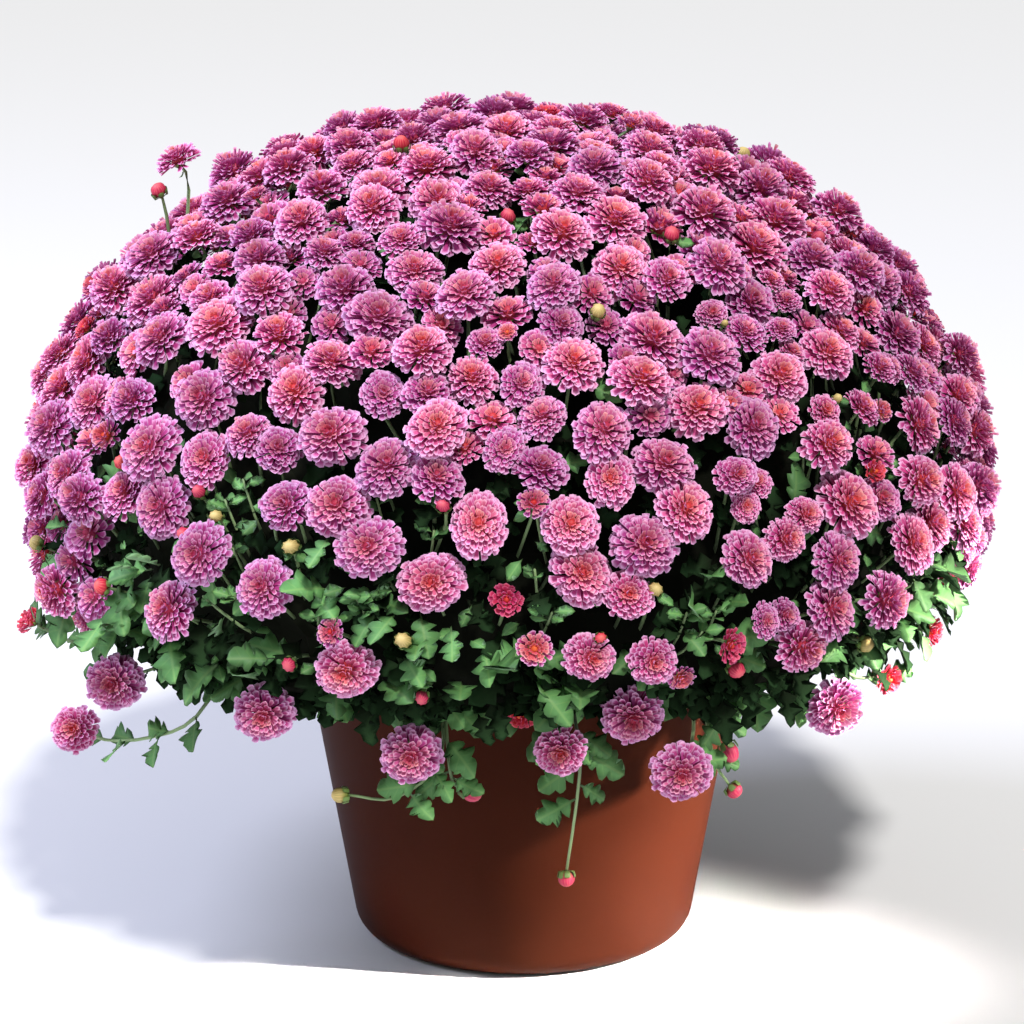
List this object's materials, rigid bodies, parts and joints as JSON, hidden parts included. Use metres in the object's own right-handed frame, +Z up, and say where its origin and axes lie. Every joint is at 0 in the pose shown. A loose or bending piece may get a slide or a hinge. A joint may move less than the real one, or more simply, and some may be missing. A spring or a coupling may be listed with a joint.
{
  "type": "potted chrysanthemum",
  "caption": "Garden chrysanthemum in a round tapered plastic pot: a low dome of double mauve-pink blooms with coral young blooms, buds, lobed leaves and loose trailing sprays.",
  "frame": {"origin": "middle of the pot's flat underside, on the surface it stands on", "axes": "+Z up along the pot's axis; -Y towards the side with the open skirt and most of the trailing sprays; +X to the right seen from there"},
  "size_m": [0.6474, 0.6495, 0.5634],
  "materials": {
    "petals": "soft matt petals, mauve pink with pale edges and a coral centre",
    "young_petals": "soft matt petals, coral to crimson",
    "foliage": "matt green leaves and stems",
    "pot_plastic": "satin moulded plastic, terracotta brown",
    "potting_mix": "rough, dark and damp"
  },
  "bodies": {
    "root": {"pot": "pot_plastic", "potting_mix": "potting_mix", "bloom_cluster_01": "petals", "bloom_cluster_02": "petals", "bloom_cluster_03": "petals", "bloom_cluster_04": "petals", "bloom_cluster_05": "petals", "bloom_cluster_06": "petals", "bloom_cluster_07": "petals", "bloom_cluster_08": "petals", "bloom_cluster_09": "petals", "bloom_cluster_10": "petals", "bloom_cluster_11": "petals", "bloom_cluster_12": "petals", "bloom_cluster_13": "petals", "bloom_cluster_14": "petals", "bloom_cluster_15": "petals", "bloom_cluster_16": "petals", "bloom_cluster_17": "petals", "bloom_cluster_18": "petals", "bloom_cluster_19": "petals", "bloom_cluster_20": "petals", "bloom_cluster_21": "petals", "bloom_cluster_22": "petals", "bloom_cluster_23": "petals", "leafy_branch_1": "foliage", "leafy_branch_2": "foliage", "leafy_branch_3": "foliage", "leafy_branch_4": "foliage", "leafy_branch_5": "foliage", "leafy_branch_6": "foliage", "leafy_branch_7": "foliage", "leafy_branch_8": "foliage", "skirt_bloom_01": "petals", "skirt_bloom_02": "petals", "skirt_bloom_03": "petals", "skirt_bloom_04": "petals", "skirt_bloom_05": "petals", "skirt_bloom_06": "petals", "skirt_bloom_07": "petals", "skirt_bloom_08": "petals", "skirt_bloom_09": "young_petals", "skirt_bloom_10": "young_petals", "skirt_bloom_11": "young_petals", "skirt_bloom_12": "young_petals", "skirt_bloom_13": "petals", "skirt_bloom_14": "petals", "skirt_bloom_15": "young_petals", "skirt_bloom_16": "petals", "skirt_bloom_17": "petals", "skirt_bloom_18": "petals", "skirt_bloom_19": "young_petals", "skirt_bloom_20": "young_petals", "skirt_bloom_21": "petals", "skirt_bloom_22": "petals", "skirt_bloom_23": "petals", "skirt_bloom_24": "young_petals"}
  },
  "joints": []
}
